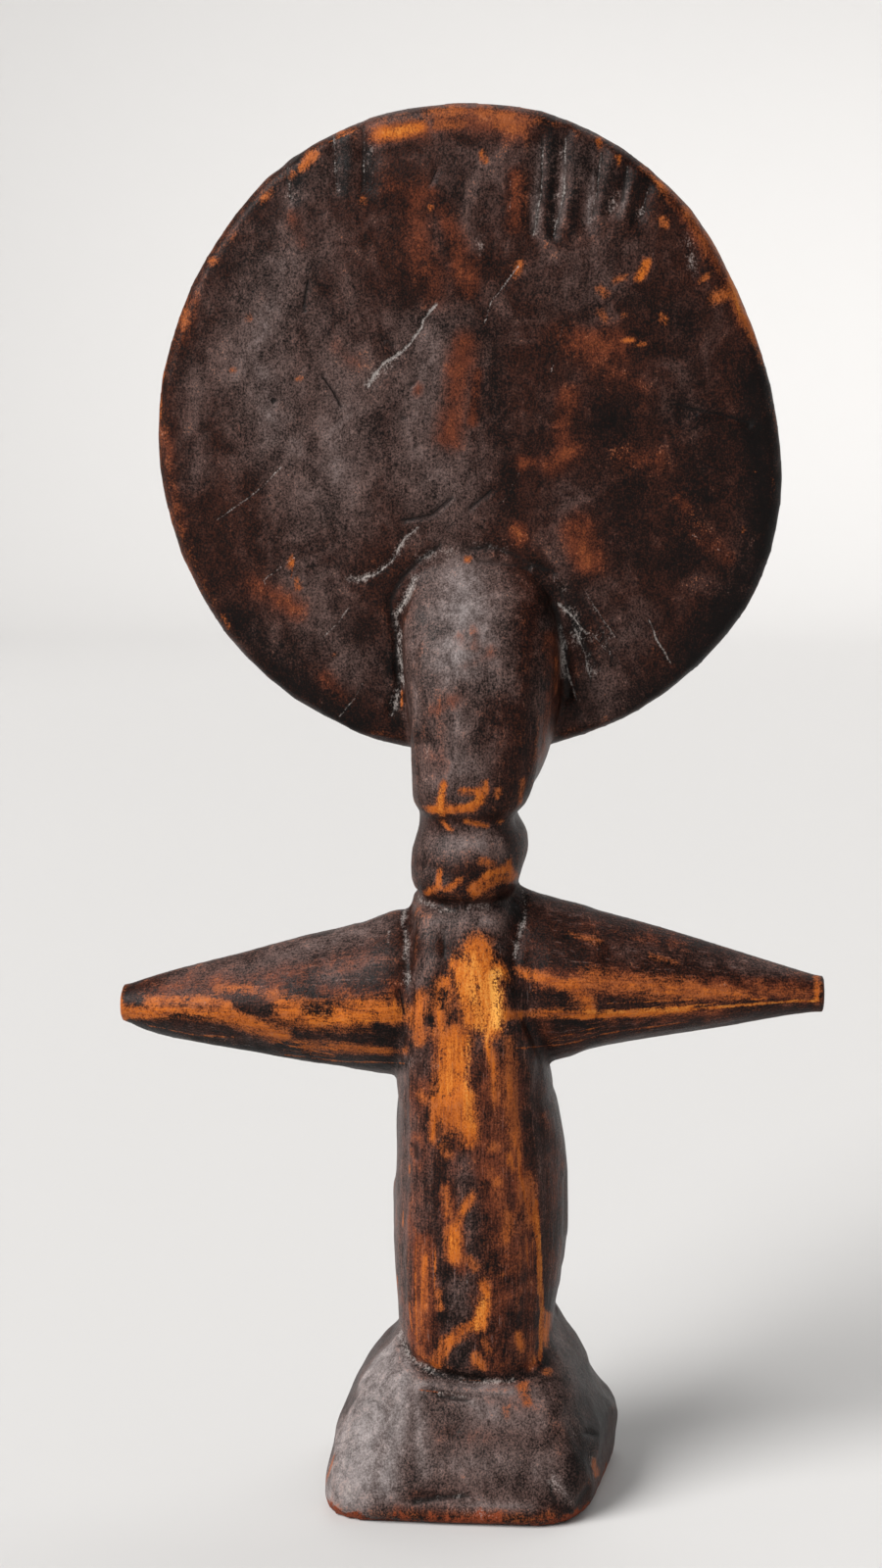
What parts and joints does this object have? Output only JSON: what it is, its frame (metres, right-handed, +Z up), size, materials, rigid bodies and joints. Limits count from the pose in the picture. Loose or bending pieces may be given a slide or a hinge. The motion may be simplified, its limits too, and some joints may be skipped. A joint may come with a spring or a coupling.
{
  "type": "carved fertility figurine",
  "caption": "Hand-carved wooden fertility figure with a round flat head, ringed neck, short stub arms, block body and mound foot; stands on its flat underside.",
  "frame": {"origin": "on the flat underside of the foot, straight below the middle of the body", "axes": "+Z up along the figure; +X to the right and -Y towards the viewer when the plain back is seen; the face, breasts and navel look along +Y"},
  "size_m": [0.1682, 0.0597, 0.3295],
  "materials": {
    "stained_wood": "dark hand-rubbed stain, worn through to orange wood on the edges"
  },
  "bodies": {
    "root": {"carved_figure": "stained_wood"}
  },
  "joints": []
}
